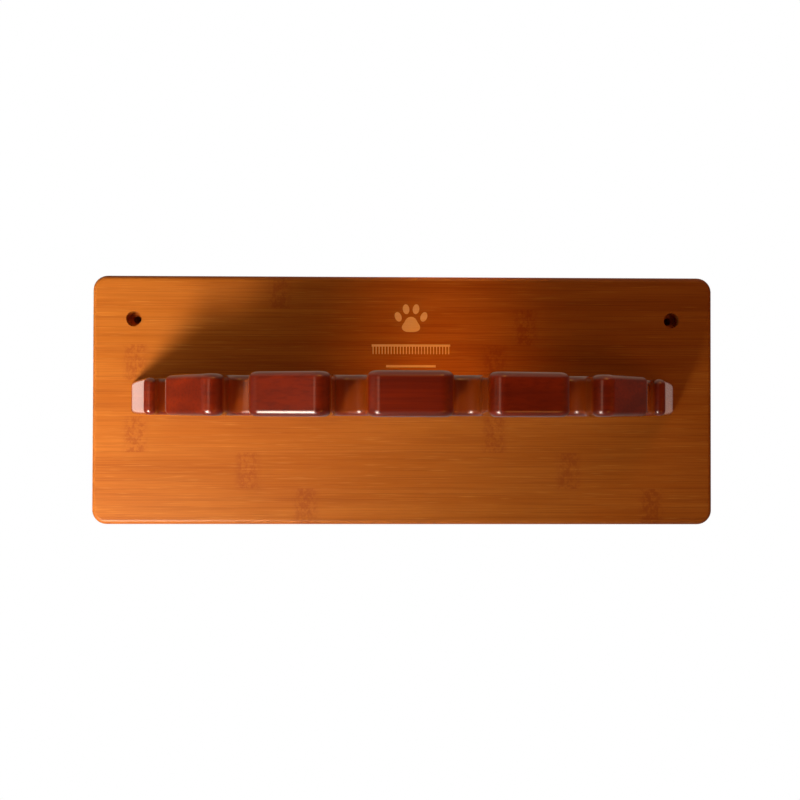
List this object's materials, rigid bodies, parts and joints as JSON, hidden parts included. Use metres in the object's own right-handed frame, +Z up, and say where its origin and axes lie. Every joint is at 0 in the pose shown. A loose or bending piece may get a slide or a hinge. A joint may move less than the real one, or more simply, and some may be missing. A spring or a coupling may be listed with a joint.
{
  "type": "wall-mounted grooming tool rack",
  "caption": "Rectangular wooden wall board carrying a half-round shelf whose front is cut into flat-faced lobes by notches that shears and combs hang in.",
  "frame": {"origin": "middle of the board's back face, which lies flat on the wall", "axes": "+X to the right along the board's width, +Y into the wall so the shelf stands out towards -Y, +Z up"},
  "size_m": [0.3, 0.143, 0.12],
  "materials": {
    "board": "satin lacquered carbonised bamboo with fine level streaks and darker knuckles",
    "rack": "glossy dark red-brown lacquer",
    "screws": "zinc-plated steel",
    "dowels": "bare beech"
  },
  "bodies": {
    "root": {"back_board": "board", "tool_rack": "rack", "rack_screws": "screws", "locating_dowels": "dowels"}
  },
  "joints": []
}
